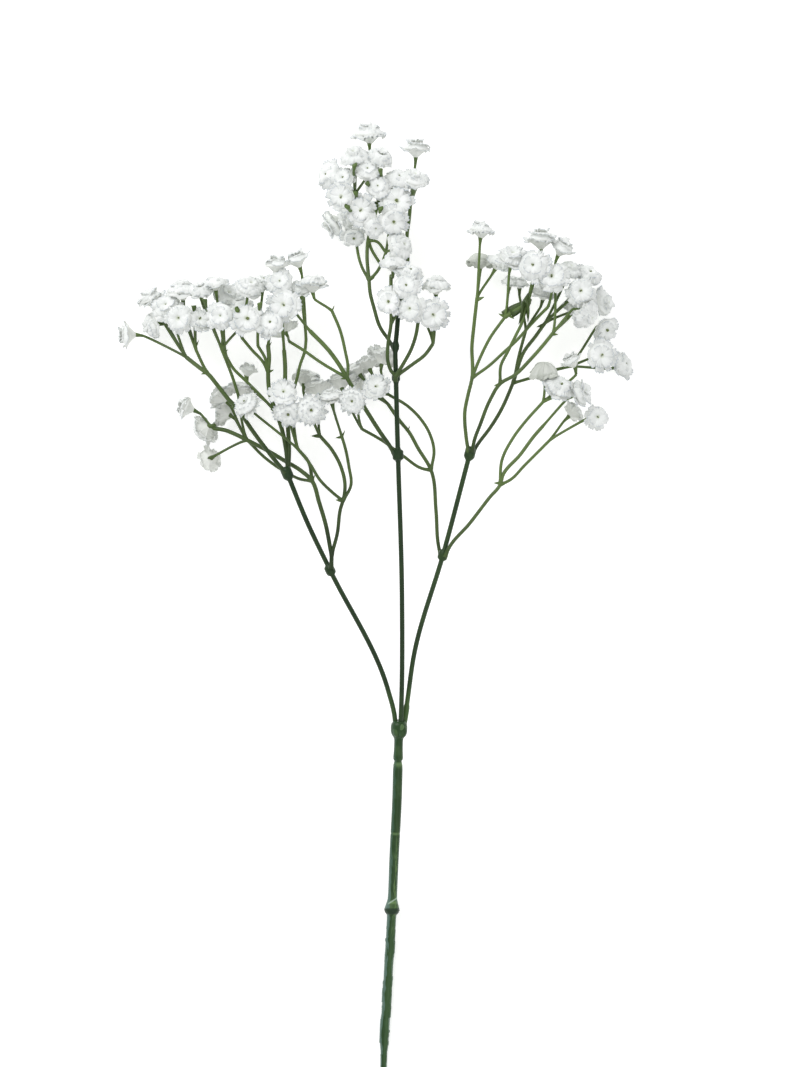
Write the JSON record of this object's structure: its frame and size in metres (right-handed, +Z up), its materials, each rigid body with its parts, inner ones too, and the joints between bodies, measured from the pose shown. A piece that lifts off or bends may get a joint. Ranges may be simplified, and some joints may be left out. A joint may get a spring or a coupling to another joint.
{
  "type": "gypsophila stem",
  "caption": "Cut spray of artificial baby's breath: a slim green stalk with forked branches and sprays of small white ruffled blooms, lying on a surface.",
  "frame": {"origin": "on the surface that the spray lies on, under the middle of its bounding box", "axes": "+Y from the stem's cut foot towards the tip, +X across the spray, +Z up from the surface"},
  "size_m": [0.3071, 0.5872, 0.0615],
  "materials": {
    "stem_green": "satin moulded plastic, mid green",
    "branch_green": "satin moulded plastic, dark green",
    "spray_green": "satin moulded plastic, olive green",
    "petal_white": "matt, thin and soft, off-white"
  },
  "bodies": {
    "root": {"blooms_01": "petal_white", "blooms_02": "petal_white", "blooms_03": "petal_white", "blooms_04": "petal_white", "blooms_05": "petal_white", "blooms_06": "petal_white", "blooms_07": "petal_white", "blooms_08": "petal_white", "blooms_09": "petal_white", "blooms_10": "petal_white", "blooms_11": "petal_white", "blooms_12": "petal_white", "blooms_13": "petal_white", "blooms_14": "petal_white", "blooms_15": "petal_white", "blooms_16": "petal_white", "blooms_17": "petal_white", "blooms_18": "petal_white", "blooms_19": "petal_white", "blooms_20": "petal_white", "blooms_21": "petal_white", "blooms_22": "petal_white", "blooms_23": "petal_white", "blooms_24": "petal_white", "blooms_25": "petal_white", "blooms_26": "petal_white", "blooms_27": "petal_white", "blooms_28": "petal_white", "blooms_29": "petal_white", "blooms_30": "petal_white", "blooms_31": "petal_white", "blooms_32": "petal_white", "blooms_33": "petal_white", "blooms_34": "petal_white", "blooms_35": "petal_white", "blooms_36": "petal_white", "blooms_37": "petal_white", "blooms_38": "petal_white", "blooms_39": "petal_white", "blooms_40": "petal_white", "blooms_41": "petal_white", "blooms_42": "petal_white", "blooms_43": "petal_white", "centre_branch": "branch_green", "left_branch": "branch_green", "main_stem": "stem_green", "right_branch": "branch_green", "spray_centre": "spray_green", "spray_centre_low": "spray_green", "spray_left_inner": "spray_green", "spray_left_low": "spray_green", "spray_left_outer": "spray_green", "spray_right_inner": "spray_green", "spray_right_low_inner": "spray_green", "spray_right_low_outer": "spray_green", "spray_right_middle": "spray_green", "spray_right_outer": "spray_green", "spray_top": "spray_green", "spray_top_left": "spray_green"}
  },
  "joints": []
}
